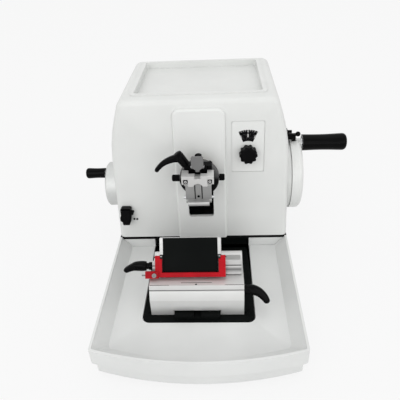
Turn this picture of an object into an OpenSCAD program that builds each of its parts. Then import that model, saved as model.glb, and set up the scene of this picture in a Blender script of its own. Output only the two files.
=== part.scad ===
// Rotary microtome: housing with two hand wheels, specimen head, knife holder
// and waste tray. Millimetres, +Z up, +Y to the rear. The origin is on the
// bench, below the middle of the whole instrument.

/* [Housing] */
// Width of the housing at its foot
body_w = 270; // [262:1:280]
// Depth of the housing
body_d = 238; // [232:1:250]
// Height of the housing above the deck line
body_h = 222; // [216:1:232]
// Backward lean of the front face in degrees
face_lean = 6; // [5:0.5:7]
// Wall thickness of the housing
wall = 3; // [2.5:0.5:4]
// Height of the deck line above the bench
deck_z = 52; // [50:1:58]

/* [Waste tray] */
// Reach of the tray in front of the housing, at its corners
tray_len = 225; // [215:1:235]
// Bow of the tray's front edge
tray_bow = 19; // [12:1:26]
// Depth of the tray floor below the rim
tray_drop = 20; // [18:0.5:21]
// Height of the tray's skirt
skirt_h = 24; // [22.5:0.5:26]

/* [Hand wheels] */
// Radius of the drive wheel
wheel_r = 58.5; // [54:0.5:62]
// Thickness of the drive wheel
wheel_t = 18; // [17:0.5:20]
// Radius on which the crank grip sits
grip_at = 52; // [48:0.5:53]
// Length of the crank grip
grip_len = 70; // [60:1:80]
// Radius of the coarse feed wheel
coarse_r = 37; // [34:0.5:40]
// Thickness of the coarse feed wheel
coarse_t = 22; // [18:0.5:24]
// Length of the coarse feed grip
coarse_grip_len = 32; // [26:1:38]

/* [Drive and feed] */
// Vertical stroke of the specimen head
stroke = 56; // [50:1:58]
// Radius of the feed spindle
spindle_r = 11.4; // [10:0.1:12]
// Advance of the specimen feed
feed_len = 25; // [20:1:28]

/* [Specimen head] */
// Radius of the orientation disc
disc_r = 28.7; // [26:0.1:30]
// Width of the upper clamp jaw
jaw_w = 44; // [42:0.5:48]
// Lift of the upper jaw
jaw_lift = 4; // [3:0.5:5]

/* [Control panel] */
// Radius of the section thickness knob
knob_r = 14; // [12:0.5:16]
// Length of the section thickness knob
knob_len = 16; // [12:0.5:20]

/* [Knife holder] */
// Width of the knife holder base
holder_w = 127; // [122:1:134]
// Height of the knife holder base above the deck line
holder_top = 28; // [27:0.5:29]
// Width of the pressure plate
plate_w = 74; // [70:0.5:78]
// Slope length of the pressure plate
plate_len = 50.5; // [46:0.5:51]

/* [Hidden] */
$fn = 72;
e = 0.01;
gap = 0.25;          // seat between a moving piece and its guide
fit = 0.06;          // radial running fit
hw = body_w / 2;
draft = 1;
shoulder_z = body_h - 92;
shoulder_r = 236;
edge_r = 7;
rear_r = 24;
slice_t = 0.5;
foot_h = 6;
gasket_t = 5;
deck_floor = -tray_drop;
base_bottom = foot_h - deck_z;
well_z = base_bottom + 12;
feet_x = 105;
feet_y = 190;

// steel plate in the tray
plate_x0 = -78.5;
plate_x1 = 74.5;
plate_y0 = -163;
plate_y1 = 8;
plate_z = deck_floor - 9.5;

// drive wheel axis and coarse wheel axis in deck coordinates
wheel_y = 80;
wheel_z = 70;
boss_x = hw + 6.5;
wheel_x0 = boss_x + 0.6;
wheel_x1 = wheel_x0 + wheel_t;
grip_turn = 6;
coarse_y = 78;
coarse_z = 56;
coarse_x0 = hw + 2.4;
coarse_x1 = coarse_x0 + coarse_t;
coarse_grip_at = 26.5;
coarse_grip_turn = 17;
grip_r = 13.6;
coarse_grip_r = 8.8;

lock_x = hw + 6.8;
lock_z = wheel_z + wheel_r + 10;

// vertical slide, at the top of its stroke
head_z = 117;
cover_y = 28;
rail_y0 = 35.2;
rail_y1 = 39.8;
car_y0 = 32;
car_y1 = 64;
car_w = 80;
cheek_x0 = 58;
cheek_x1 = 68;
crank_r = stroke / 2;
yoke_z = wheel_z + crank_r;
roller_r = 4;
yoke_x1 = 44.4;
disc_x0 = 50;
sleeve_r = spindle_r + 3;
nut_y1 = 107;
slot_w = 39;
slot_z0 = 38.5;
slot_z1 = head_z + sleeve_r + 1.6;

// specimen head
disc_y0 = -18.6;
disc_y1 = -6;
screw_y = -11.6;
screw_r = 2.5;
ball_r = 10;
screw_tip = sqrt(pow(ball_r, 2) - pow(screw_y - screw_r - disc_y0, 2)) + 0.4;
block_y0 = -38;
clamp_y0 = -48;
jaw_y0 = -57;
jaw_top = 145;
pin_y = -41.5;
pin_z = head_z + 34.5;
rod_y = -43.5;
rod_z = 103.8;
screw_x = 16.6;
screw_z = 136.5;
arm_dir = -33.7;
arm_at = [-14.5, -32, 147];

// control panel centre on the leaning face
knob_x = hw - 63;
knob_u = body_h - 79.2;
panel_u0 = body_h - 109.4;
panel_u1 = body_h - 31.4;
channel_w = 78;
channel_u0 = -20;
channel_u1 = body_h - 10;
panel_w = 47;
panel_t = 1.2;
dial_r = 37.5;
trim_x = -hw + 16.5;
trim_u = 49.3;

// top tray and rear cover
tray_half = hw - 38;
top_y0 = 50;
top_y1 = body_d - rear_r - 6;
cover_half = hw - 47;
cover_z0 = 20;
cover_z1 = body_h - 46;
cover_t = 1.6;
screw_head = 2;

// knife holder
hold_x = -3.5;
hold_y0 = -150;
hold_y1 = -72;
plate_x = -11.7;
edge_y = -98;
edge_z = 73;
seg_r = 50;
plate_tilt = 33.7;
plate_t = 4;
hold_x0 = hold_x - holder_w / 2;
hold_x1 = hold_x + holder_w / 2;
base_arm_y = -135;
guide_foot = 26.5;
guide_head = 31.4;
guide_h = 6.5;
base_arm_z = 13;
guard_x = plate_w / 2 + 6;
guard_y = -3.2;
guard_z = -25.3;
guard_end = -52.2;
tab_at = [-guard_x - 5.8, -6.4, guard_end + 2.6];

// middle of the whole instrument, between the two grips and from tray to rear cover
grip_seat = 2.7;
small_seat = 1.8;
mid_x = (wheel_x1 + grip_seat + grip_len - coarse_x1 - small_seat - coarse_grip_len) / 2;
mid_y = (body_d + cover_t + screw_head - tray_len - tray_bow) / 2;

// ---------- helpers ----------
module deck() translate([-mid_x, -mid_y, deck_z]) children();
module lean() deck() rotate([-face_lean, 0, 0]) children();
module span(x, y, z)
    translate([x[0], y[0], z[0]]) cube([x[1] - x[0], y[1] - y[0], z[1] - z[0]]);
module xrod(r, x0, x1, y, z, sides = $fn)
    translate([x0, y, z]) rotate([0, 90, 0]) cylinder(r = r, h = x1 - x0, $fn = sides);
module yrod(r, y0, y1, x, z, sides = $fn)
    translate([x, y0, z]) rotate([-90, 0, 0]) cylinder(r = r, h = y1 - y0, $fn = sides);
module zrod(r, z0, z1, x, y, sides = $fn) translate([x, y, z0]) cylinder(r = r, h = z1 - z0, $fn = sides);
// a profile drawn in (y, z) pushed along x
module xplate(x0, x1) translate([x0, 0, 0]) rotate([90, 0, 90]) linear_extrude(x1 - x0) children();
// a profile drawn in (x, z) pushed along y
module yplate(y0, y1) translate([0, y1, 0]) rotate([90, 0, 0]) linear_extrude(y1 - y0) children();
module knife_edge() deck() translate([0, edge_y, edge_z]) rotate([-plate_tilt, 0, 0]) children();
module pill(w, h, r) offset(r) square([w - 2 * r, h - 2 * r], center = true);

function inset_at(z) = z * tan(draft)
    + (z > shoulder_z ? shoulder_r - sqrt(pow(shoulder_r, 2) - pow(z - shoulder_z, 2)) : 0);
function side_x(z) = hw - inset_at(z);

// ---------- plan shapes ----------
// straight sides, bowed front, round rear corners
module plan(w, front, bow, rear, rr) {
    bow_r = (w * w / 4 + bow * bow) / (2 * bow);
    intersection() {
        union() {
            translate([-w / 2, -front - bow]) square([w, front + bow + rear - rr]);
            translate([-w / 2 + rr, 0]) square([w - 2 * rr, rear]);
            for (s = [-1, 1]) translate([s * (w / 2 - rr), rear - rr]) circle(rr);
        }
        translate([0, bow_r - front - bow]) circle(bow_r, $fn = 240);
    }
}
module rear_plan(inset) intersection() {
    plan(body_w - 2 * inset, tray_len, tray_bow, body_d - inset, rear_r - inset);
    translate([-hw, inset]) square([body_w, body_d]);
}

// ---------- housing ----------
module front_outline() {
    zs = [-50, 0, shoulder_z, shoulder_z + 26, shoulder_z + 48, shoulder_z + 66, body_h - 12];
    cr = 11;
    zt = body_h - 12;
    tip = side_x(zt);
    right = concat([for (z = zs) [side_x(max(z, 0)), z]],
        [for (a = [25:25:75]) [tip - cr + cr * cos(a), zt + 1 + cr * sin(a)]],
        [[tip - cr, body_h]]);
    n = len(right);
    polygon(concat(right, [for (i = [n - 1:-1:0]) [-right[i][0], right[i][1]]]));
}
module face_slice(d, inset)
    multmatrix([[1, 0, 0, 0], [0, 1, tan(face_lean), d], [0, 0, 1, 0], [0, 0, 0, 1]])
        translate([0, slice_t, 0]) rotate([90, 0, 0]) linear_extrude(slice_t)
            offset(delta = -inset) front_outline();
module rear_slice(y, inset)
    translate([0, y, 0]) rotate([90, 0, 0]) linear_extrude(slice_t) offset(delta = -inset) front_outline();
module housing_form(t) intersection() {
    hull() {
        for (a = [0:30:90]) face_slice(t + edge_r * (1 - cos(a)), t + edge_r * (1 - sin(a)));
        for (a = [0:22.5:90])
            rear_slice(body_d - rear_r + (rear_r - t) * sin(a), t + (rear_r - t) * (1 - cos(a)));
    }
    translate([-hw - 5, -5, 0]) cube([body_w + 10, body_d + 20, body_h + 5]);
}
module on_panel() translate([knob_x, 0, knob_u]) children();
module sector(r0, r1, a) intersection() {
    difference() {
        circle(r1);
        circle(r0);
    }
    polygon([[0, 0], [-80 * tan(a), 80], [80 * tan(a), 80]]);
}
module housing_shell() color("#dfe0dd") deck() difference() {
    union() {
        difference() {
            union() {
                housing_form(0);
                xrod(wheel_r - 2.5, hw - 20, boss_x, wheel_y, wheel_z);
            }
            translate([0, 0, -1]) housing_form(wall);
            // the wheel's seat is a dish, open to the inside
            xrod(wheel_r - 6, hw - 25, boss_x - wall, wheel_y, wheel_z);
        }
        xrod(18, hw - 12, boss_x, wheel_y, wheel_z);
        xrod(28, -hw - 1.8, -side_x(coarse_z) + wall, coarse_y, coarse_z);
        // pad of the wheel lock
        span([side_x(lock_z) - wall, hw + 1], [wheel_y - 9, wheel_y + 9],
            [wheel_z + wheel_r - 3, lock_z + 9.5]);
    }
    xrod(9, hw - 20, boss_x + 1, wheel_y, wheel_z);
    xrod(7, -hw - 5, -hw + 20, coarse_y, coarse_z);
    span([-slot_w / 2 - 1, slot_w / 2 + 1], [-1, cover_y], [slot_z0 - 1, slot_z1 + 1]);
    // openings of the storage tray and the rear cover
    span([-tray_half, tray_half], [top_y0, top_y1], [body_h - 20, body_h + 2]);
    span([14 - cover_half, cover_half - 14], [body_d - 10, body_d + 5], [cover_z0 + 14, cover_z1 - 14]);
    cover_points() yrod(2, body_d - 6, body_d + 1, 0, 0);
    rotate([-face_lean, 0, 0]) {
        span([knob_x - panel_w / 2 - 0.4, knob_x + panel_w / 2 + 0.4], [-1, panel_t + 0.6],
            [panel_u0 - 0.4, panel_u1 + 0.4]);
        span([knob_x - panel_w / 2 + 4, knob_x + panel_w / 2 - 4], [-1, 12],
            [panel_u0 + 4, panel_u1 - 4]);
        yrod(4, -1, 12, trim_x, trim_u);
    }
}

module gasket_strip() color("#161616") deck() translate([0, 0, -gasket_t]) difference() {
    linear_extrude(gasket_t) rear_plan(0);
    translate([0, 0, -1]) linear_extrude(gasket_t + 2) rear_plan(7);
}
module panel_slice(y, inset) translate([1, y, (channel_u0 + channel_u1) / 2]) rotate([90, 0, 0])
    linear_extrude(e) pill(channel_w - 2 * inset, channel_u1 - channel_u0 - 2 * inset, 12 - inset);
module channel_panel() color("#e2e3e0") lean() difference() {
    hull() {
        panel_slice(0, 0);
        panel_slice(-3.6, 1.5);
        panel_slice(-4.9, 3.5);
    }
    // slot of the specimen arm, with round corners
    yplate(-9, 9) translate([0, (slot_z0 + slot_z1) / 2 / cos(face_lean)])
        pill(slot_w, (slot_z1 - slot_z0) / cos(face_lean), 5);
    rotate([face_lean, 0, 0]) span([-60, 60], [-20, 20], [-50, 0.3]);
}
module control_panel() color("#d9dad7") lean() difference() {
    translate([knob_x, 0.6, (panel_u0 + panel_u1) / 2]) rotate([-90, 0, 0])
        linear_extrude(panel_t) pill(panel_w, panel_u1 - panel_u0, 3);
    on_panel() {
        translate([0, 5, 0]) rotate([90, 0, 0]) linear_extrude(10) sector(17.5, 35, 24);
        yrod(3 + fit, -1, 5, 0, 0);
    }
}
module window_lens() color([0.75, 0.8, 0.85, 0.35]) lean() on_panel()
    translate([0, 2.8, 0]) rotate([90, 0, 0]) linear_extrude(1) sector(15.8, 36.6, 27);
module top_tray() color("#d6d7d4") deck() difference() {
    union() {
        span([-tray_half + 0.2, tray_half - 0.2], [top_y0 + 0.2, top_y1 - 0.2], [body_h - 12, body_h + 0.5]);
        translate([0, (top_y0 + top_y1) / 2, body_h]) linear_extrude(1.6)
            pill(2 * tray_half + 7, top_y1 - top_y0 + 7, 7);
    }
    translate([0, (top_y0 + top_y1) / 2, body_h - 9.5]) linear_extrude(20)
        pill(2 * tray_half - 5, top_y1 - top_y0 - 5, 5);
}
module cover_points() for (s = [-1, 0, 1]) for (z = [cover_z0 + 6, cover_z1 - 6])
    translate([s * (cover_half - 6), 0, z]) children();
module rear_cover() color("#cfd0cd") deck() difference() {
    translate([0, body_d + cover_t, (cover_z0 + cover_z1) / 2]) rotate([90, 0, 0]) linear_extrude(cover_t)
        pill(2 * cover_half, cover_z1 - cover_z0, 5);
    // ventilation slots
    for (i = [0:7]) translate([0, 0, cover_z1 - 48 + i * 5])
        span([-34, 34], [body_d - 5, body_d + 5], [0, 2.4]);
    cover_points() yrod(2, body_d - 1, body_d + cover_t + 1, 0, 0);
}
module cover_screws() color("#8d9092") deck() cover_points() {
    yrod(1.9, body_d - 5, body_d + cover_t + e, 0, 0);
    translate([0, body_d + cover_t, 0]) difference() {
        yrod(3.6, 0, screw_head, 0, 0);
        yrod(1.5, 0.8, screw_head + 1, 0, 0, 6);
    }
}
// ---------- base and tray ----------
module base_casting() color("#d8d9d6") deck() difference() {
    union() {
        translate([0, 0, base_bottom]) linear_extrude(-skirt_h - base_bottom)
            plan(body_w - 10, tray_len - 5, tray_bow, body_d - 5, rear_r - 5);
        translate([0, 0, -skirt_h - e]) linear_extrude(skirt_h - gasket_t + e) rear_plan(0);
    }
    // well of the housing, its gate for the steel plate and the plate's pocket
    translate([0, 0, well_z]) linear_extrude(60) rear_plan(9);
    span([plate_x0 - 0.1, plate_x1 + 0.1], [-1, 20], [plate_z, 0]);
    translate([0, 0, plate_z]) linear_extrude(30) plate_plan(0.2);
    // pockets below, with ribs between them
    for (x = [-48, 48]) {
        for (y = [-150, -55]) translate([x, y, base_bottom - 1]) linear_extrude(8) pill(76, 80, 8);
        translate([x, 120, base_bottom - 1]) linear_extrude(6) pill(76, 160, 8);
    }
    foot_points() zrod(2.5, base_bottom - 1, base_bottom + 9, 0, 0);
}
module foot_points() for (x = [-feet_x, feet_x]) for (y = [-feet_y, feet_y]) translate([x, y, 0]) children();
module plate_plan(grow) intersection() {
    translate([(plate_x0 + plate_x1) / 2, plate_y0 / 2 + 20])
        pill(plate_x1 - plate_x0 + 2 * grow, 40 - plate_y0 + 2 * grow, 11);
    translate([-hw, -hw * 2]) square([body_w, hw * 2 + plate_y1 + grow]);
}
module rubber_feet() color("#1c1c1c") deck() foot_points() {
    zrod(15, -deck_z, base_bottom, 0, 0);
    zrod(2.4, base_bottom - e, base_bottom + 8, 0, 0);
}
module plate_points() for (x = [-66, 62]) for (y = [-146, -20]) translate([x, y, deck_floor]) children();
module base_plate() color("#2a2c2d") deck() difference() {
    union() {
        translate([0, 0, plate_z]) linear_extrude(deck_floor - plate_z) plate_plan(0);
        // apron that closes the gate below the housing
        span([plate_x0 + 0.5, plate_x1 - 0.5], [3, 6], [deck_floor - e, -gasket_t]);
    }
    plate_points() {
        zrod(5.2, -4, 1, 0, 0);
        zrod(3, -12, 0, 0, 0);
    }
}
module plate_screws() color("#3a3d3f") deck() plate_points() difference() {
    union() {
        zrod(4.9, -4, -0.4, 0, 0);
        zrod(2.8, -9, -4 + e, 0, 0);
    }
    zrod(2.3, -2.6, 0, 0, 0, 6);
}

// dovetail, wider at its top
module guide_profile(grow) translate([hold_x, deck_floor]) polygon([[-guide_foot - grow, -0.1],
    [guide_foot + grow, -0.1], [guide_head + grow, guide_h + grow], [-guide_head - grow, guide_h + grow]]);
module holder_guide() color("#232526") deck() difference() {
    yplate(-159, -6) guide_profile(0);
    span([-hw, hw], [-200, 0], [deck_floor - 1, deck_floor]);
    span([hold_x - 5, hold_x + 5], [-170, 0], [deck_floor + 3, deck_floor + 8]);
    for (y = [-140, -90, -40]) for (s = [-1, 1])
        zrod(3.2, deck_floor + 2.5, deck_floor + 8, hold_x + s * 18, y);
}
module waste_tray() color("#dcdddb") deck() difference() {
    translate([0, 0, -skirt_h]) linear_extrude(skirt_h) tray_plan(0);
    hull() {
        translate([0, 0, -2]) linear_extrude(4) tray_plan(3.2);
        translate([0, 0, deck_floor]) linear_extrude(e) tray_floor(0);
    }
    // hollow below the sloping walls
    difference() {
        translate([0, 0, -skirt_h - 1]) linear_extrude(skirt_h - 3) tray_plan(3.2);
        hull() {
            translate([0, 0, -5.5]) linear_extrude(4) tray_plan(0.5);
            translate([0, 0, -skirt_h - 2]) linear_extrude(e) tray_floor(2.5);
        }
    }
    translate([0, 0, -skirt_h - 5]) linear_extrude(skirt_h) plate_plan(1);
    span([plate_x0 - 1, plate_x1 + 1], [-20, 20], [-skirt_h - 5, 2]);
}
module tray_plan(inset) intersection() {
    offset(3) offset(delta = -3 - inset) plan(body_w, tray_len, tray_bow, 50, 10);
    translate([-hw, -tray_len - 40]) square([body_w, tray_len + 39.4 + (inset > 0 ? 10 : 0)]);
}
module tray_floor(grow) offset(8 + grow) translate([-hw + 26, -tray_len + 26])
    square([body_w - 52, tray_len - 28]);
// ---------- frame inside ----------
module column_casting() color("#7b8084") deck() difference() {
    union() {
        span([-82, 82], [26, 152], [well_z, well_z + 8]);
        for (s = [-1, 1]) {
            span(s > 0 ? [cheek_x0, cheek_x1] : [-cheek_x1, -cheek_x0], [car_y0, 130],
                [well_z + 8 - e, 165]);
            span(s > 0 ? [48, cheek_x0 + e] : [-cheek_x0 - e, -48], [car_y0, 42], [0, 165]);
            // ribs to the floor flange
            span(s > 0 ? [cheek_x1 - e, 80] : [-80, -cheek_x1 + e], [140, 148], [well_z + 8 - e, 20]);
        }
        span([-cheek_x1, cheek_x1], [120, 130], [well_z + 8 - e, 165]);
        for (s = [-1, 1]) span(s > 0 ? [60, 68] : [-68, -60], [130 - e, 148], [well_z + 8 - e, 60]);
    }
    xrod(15, cheek_x0 - 5, cheek_x1 + 5, wheel_y, wheel_z);
    xrod(11, -cheek_x1 - 5, -cheek_x0 + 5, coarse_y, coarse_z);
    // lightening windows of the cheeks and the rear wall
    for (s = [-1, 1]) span(s > 0 ? [50, 75] : [-75, -50], [60, 112], [108, 150]);
    span([-40, 40], [110, 140], [20, head_z + 12]);
    for (x = [-76, 76]) for (y = [40, 110]) zrod(3, well_z - 1, well_z + 9, x, y);
}
module guide_rails() color("#b9bcbe") deck() for (s = [-1, 1]) {
    span(s > 0 ? [34.3, 48] : [-48, -34.3], [rail_y0, rail_y1], [2, 160]);
}
module shaft_bearings() color("#c6c9cb") deck() {
    difference() {
        union() {
            xrod(15, cheek_x0, cheek_x1, wheel_y, wheel_z);
            xrod(21, cheek_x1 - e, cheek_x1 + 4, wheel_y, wheel_z);
        }
        xrod(8 + fit, cheek_x0 - 1, cheek_x1 + 9, wheel_y, wheel_z);
        for (a = [45:90:315]) translate([0, wheel_y, wheel_z]) rotate([a, 0, 0])
            xrod(1.6, cheek_x1 + 1, cheek_x1 + 9, 18, 0);
    }
    difference() {
        union() {
            xrod(11, -cheek_x1, -cheek_x0, coarse_y, coarse_z);
            xrod(15, -cheek_x1 - 3, -cheek_x1 + e, coarse_y, coarse_z);
        }
        xrod(6 + fit, -cheek_x1 - 9, -cheek_x0 + 5, coarse_y, coarse_z);
    }
}

// ---------- drive wheel, turns as one ----------
module handwheel() color("#e4e5e3") deck() translate([wheel_x0, wheel_y, wheel_z]) difference() {
    union() {
        rotate([0, 90, 0]) rotate_extrude($fn = 120) {
            translate([wheel_r - 13, 0]) square([5.2, wheel_t]);
            translate([wheel_r - 8.2, 0]) square([8.2, wheel_t - 8]);
            intersection() {
                translate([wheel_r - 8, wheel_t - 8]) circle(8);
                translate([wheel_r - 8.2, wheel_t - 8.2]) square(8.2);
            }
            translate([0, wheel_t - 9]) square([wheel_r - 12.5, 5]);
            square([17, wheel_t - 4]);
            translate([17 - e, wheel_t - 10]) polygon([[0, 2], [6, 2], [0, -6]]);
        }
        intersection() {
            rotate([-grip_turn, 0, 0]) xrod(9, wheel_t - 8, wheel_t + 0.6, 0, grip_at);
            xrod(wheel_r - 1.5, 0, wheel_t + 1, 0, 0);
        }
    }
    xrod(8 + fit, -1, wheel_t - 6, 0, 0);
    rotate([-grip_turn, 0, 0]) xrod(5 + fit, 4, wheel_t + 2, 0, grip_at);
    // mark notch in the rim
    span([6, 11], [-2.2, 2.2], [wheel_r - 1.6, wheel_r + 1]);
}
module wheel_cap() color("#1b1b1c") deck() translate([wheel_x0, wheel_y, wheel_z])
    rotate([0, 90, 0]) rotate_extrude() {
        translate([0, wheel_t - 4]) square([14, 2.4]);
        translate([0, wheel_t - 1.6 - e]) square([12.6, 1.2]);
    }
module drive_shaft() color("#a9adaf") deck() {
    xrod(8, disc_x0 + 0.4, wheel_x0 + wheel_t - 6.2, wheel_y, wheel_z);
    difference() {
        xrod(12, cheek_x1 + 4.3, cheek_x1 + 12, wheel_y, wheel_z);
        xrod(7.9, cheek_x1, cheek_x1 + 15, wheel_y, wheel_z);
    }
}
module crank_disc() color("#94989b") deck() {
    difference() {
        union() {
            xrod(crank_r + roller_r + 2, disc_x0, disc_x0 + 6, wheel_y, wheel_z);
            xrod(13, disc_x0 + 6 - e, disc_x0 + 7.6, wheel_y, wheel_z);
        }
        xrod(8 + fit, disc_x0 + 0.3, disc_x0 + 10, wheel_y, wheel_z);
        for (a = [60:60:300]) translate([0, wheel_y, wheel_z]) rotate([a, 0, 0])
            xrod(6, disc_x0 - 5, disc_x0 + 10, 0, 21);
    }
    // crank pin
    xrod(2.5, yoke_x1 + 0.4, disc_x0 + e, wheel_y, wheel_z + crank_r);
}
module crank_roller() color("#c9b37a") deck() difference() {
    xrod(roller_r, yoke_x1 + 0.6, disc_x0 - 0.4, wheel_y, wheel_z + crank_r);
    xrod(2.5 + fit, yoke_x1, disc_x0, wheel_y, wheel_z + crank_r);
}
module grip_axle() color("#b4b8ba") deck() translate([0, wheel_y, wheel_z])
    rotate([-grip_turn, 0, 0]) {
        xrod(5, wheel_x0 + 4.2, wheel_x1 + grip_len - 6, 0, grip_at);
        xrod(8, wheel_x1 + 0.6, wheel_x1 + 2.4, 0, grip_at);
    }
// waisted grip turned about z, length l, root radius r
module grip_body(l, r, bore_r, bore_l) rotate_extrude() difference() {
    union() {
        polygon(concat([[0, 0]], [for (i = [0:10]) let (t = i / 10)
            [r * (0.965 - 0.055 * sin(180 * min(1, t * 1.05)) + 0.035 * t), t * (l - r * 0.45)]],
            [[0, l - r * 0.45]]));
        intersection() {
            translate([0, l - r * 0.45 - e]) grip_end(r);
            translate([0, l - r * 0.45 - e]) square([r, r]);
        }
    }
    translate([-1, -1]) square([bore_r + 1, bore_l + 1]);
}
module grip_end(r) polygon(concat([[0, 0]], [for (a = [0:15:90]) [r * 0.996 * (0.62 + 0.38 * cos(a)),
    r * 0.45 * sin(a)]], [[0, r * 0.45]]));
module hand_grip() color("#121213") deck() translate([wheel_x1 + grip_seat, wheel_y, wheel_z])
    rotate([-grip_turn, 0, 0]) translate([0, 0, grip_at]) rotate([0, 90, 0])
        grip_body(grip_len, grip_r, 5 + fit, grip_len - 8);

// ---------- wheel lock ----------
module lock_bracket() color("#1e1f20") deck() difference() {
    union() {
        span([hw + 1, hw + 3], [wheel_y - 8, wheel_y + 8], [lock_z - 10, lock_z + 8]);
        for (s = [-1, 1]) translate([0, wheel_y + s * 6.4, 0])
            span([hw + 3 - e, lock_x + 4], [-1.5, 1.5], [lock_z - 4.5, lock_z + 4.5]);
    }
    yrod(1.6, wheel_y - 12, wheel_y + 12, lock_x, lock_z);
}
module lock_lever() color("#151516") deck() {
    difference() {
        union() {
            yrod(3.4, wheel_y - 4.7, wheel_y + 4.7, lock_x, lock_z);
            span([lock_x, wheel_x1 - 4], [wheel_y - 2.5, wheel_y + 2.5], [lock_z - 1.5, lock_z + 1.5]);
            span([wheel_x0 + 3, wheel_x0 + 9], [wheel_y - 4, wheel_y + 4],
                [wheel_z + wheel_r - 1, lock_z]);
            // finger bead at the end
            translate([wheel_x1 - 5.4, wheel_y, lock_z + 1]) sphere(4);
        }
        xrod(wheel_r + 0.7, wheel_x0, wheel_x1 + 5, wheel_y, wheel_z, 120);
    }
    yrod(1.55, wheel_y - 7.9, wheel_y + 7.9, lock_x, lock_z);
}

// ---------- coarse feed wheel, turns as one ----------
module coarse_wheel() color("#b9bcbd") deck() translate([-coarse_x0, coarse_y, coarse_z]) difference() {
    union() {
        rotate([0, -90, 0]) rotate_extrude($fn = 120) difference() {
            polygon([[0, 0], [coarse_r - 1, 0], [coarse_r, 1], [coarse_r, coarse_t - 2.5],
                [coarse_r - 2.5, coarse_t], [coarse_r - 6, coarse_t], [coarse_r - 7.5, coarse_t - 1.5],
                [0, coarse_t - 1.5]]);
            translate([14, -1]) square([coarse_r - 20, coarse_t - 8]);
        }
        rotate([coarse_grip_turn, 0, 0]) xrod(5.5, -coarse_t - 0.6, -coarse_t + 4, 0, coarse_grip_at);
    }
    xrod(6 + fit, -coarse_t + 4, 1, 0, 0);
    rotate([coarse_grip_turn, 0, 0]) xrod(3 + fit, -coarse_t - 2, -5, 0, coarse_grip_at);
}
module coarse_shaft() color("#a9adaf") deck() {
    xrod(6, -coarse_x1 + 4.2, -cheek_x0 + 1.5, coarse_y, coarse_z);
    // gear on the shaft
    xrod(18, -84, -76, coarse_y, coarse_z);
    xrod(9, -76 - e, -72, coarse_y, coarse_z);
    for (i = [0:23]) translate([0, coarse_y, coarse_z]) rotate([i * 15, 0, 0])
        translate([-84, -1.5, 17]) cube([8, 3, 4.4]);
}

module coarse_axle() color("#b4b8ba") deck() translate([0, coarse_y, coarse_z])
    rotate([coarse_grip_turn, 0, 0]) {
        xrod(3, -coarse_x1 - coarse_grip_len + 3, -coarse_x1 + 8, 0, coarse_grip_at);
        xrod(5, -coarse_x1 - 1.5, -coarse_x1 - 0.6, 0, coarse_grip_at);
    }
module coarse_grip() color("#141415") deck() translate([-coarse_x1 - small_seat, coarse_y, coarse_z])
    rotate([coarse_grip_turn, 0, 0]) translate([0, 0, coarse_grip_at]) rotate([0, -90, 0])
        grip_body(coarse_grip_len, coarse_grip_r, 3 + fit, coarse_grip_len - 4);

// ---------- vertical slide ----------
module carriage() color("#8f9396") deck() difference() {
    union() {
        span([-car_w / 2, car_w / 2], [car_y0, car_y1], [head_z - 30, head_z + 30]);
        yrod(20, cover_y + 2, car_y0 + e, 0, head_z);
    }
    for (s = [-1, 1]) span(s > 0 ? [34, 45] : [-45, -34], [rail_y0 - gap, rail_y1 + gap],
        [head_z - 40, head_z + 40]);
    yrod(sleeve_r + fit, cover_y, car_y1 + 1, 0, head_z);
    for (x = [-28, 28]) for (z = [-20, 20]) yrod(3, car_y0 - 1, car_y0 + 12, x, head_z + z);
}
module crank_yoke() color("#9b9fa2") deck() difference() {
    span([car_w / 2, yoke_x1], [43.6, wheel_y + crank_r + roller_r + 4], [yoke_z - 12, yoke_z + 12]);
    translate([0, wheel_y, yoke_z]) span([car_w / 2 - 1, yoke_x1 + 1],
        [-crank_r - roller_r - gap, crank_r + roller_r + gap], [-roller_r - gap, roller_r + gap]);
}
module slot_cover() color("#161718") deck() difference() {
    span([-24, 24], [cover_y, cover_y + 2], [slot_z0 - 4, head_z + 80]);
    yrod(sleeve_r + 0.1, cover_y - 1, cover_y + 3, 0, head_z);
}
module feed_sleeve() color("#b08d4a") deck() difference() {
    yrod(sleeve_r, -3, car_y1, 0, head_z);
    yrod(spindle_r + fit, -4, car_y1 + 1, 0, head_z);
}
module feed_unit() color("#6f7478") deck() difference() {
    span([-26, 26], [car_y1, 98], [head_z - 18, head_z + 18]);
    yrod(spindle_r + 0.5, car_y1 - 1, 90, 0, head_z);
    yrod(5 + fit, 85, 99, 0, head_z);
    for (x = [-21, 21]) for (z = [-13, 13]) yrod(2, 90, 99, x, head_z + z);
}

// ---------- specimen feed ----------
module feed_spindle() color("#c3c6c8") deck() {
    yrod(spindle_r, disc_y1, 84, 0, head_z);
    // threaded tail, still in its nut at the end of the feed
    yrod(5, 84 - e, nut_y1 + feed_len + 2, 0, head_z);
}
module ratchet_wheel() color("#b39a5c") deck() difference() {
    union() {
        translate([0, 98.3, head_z]) rotate([-90, 0, 0]) linear_extrude(4.2) {
            circle(22);
            for (i = [0:35]) rotate(i * 10) polygon([[20, -1.6], [24, -1.2], [21, 2]]);
        }
        yrod(8, 102.5 - e, nut_y1, 0, head_z);
    }
    yrod(5 + fit, 97, nut_y1 + 3, 0, head_z);
}
module orientation_disc() color("#17181a") deck() translate([0, 0, head_z]) difference() {
    rotate([90, 0, 0]) rotate_extrude($fn = 96)
        polygon([[0, -disc_y1], [disc_r - 1, -disc_y1], [disc_r, -disc_y1 + 1],
            [disc_r, -disc_y0 - 1.2], [disc_r - 1.2, -disc_y0], [0, -disc_y0]]);
    translate([0, disc_y0, 0]) sphere(ball_r + 0.3);
    xrod(screw_r + fit, -disc_r - 1, disc_r + 1, screw_y, 0);
    zrod(screw_r + fit, 0, disc_r + 1, 0, screw_y);
    for (a = [45:90:315]) rotate([0, a, 0]) translate([0, disc_y0, 23]) yrod(2.2, -1, 3, 0, 0);
}
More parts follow.
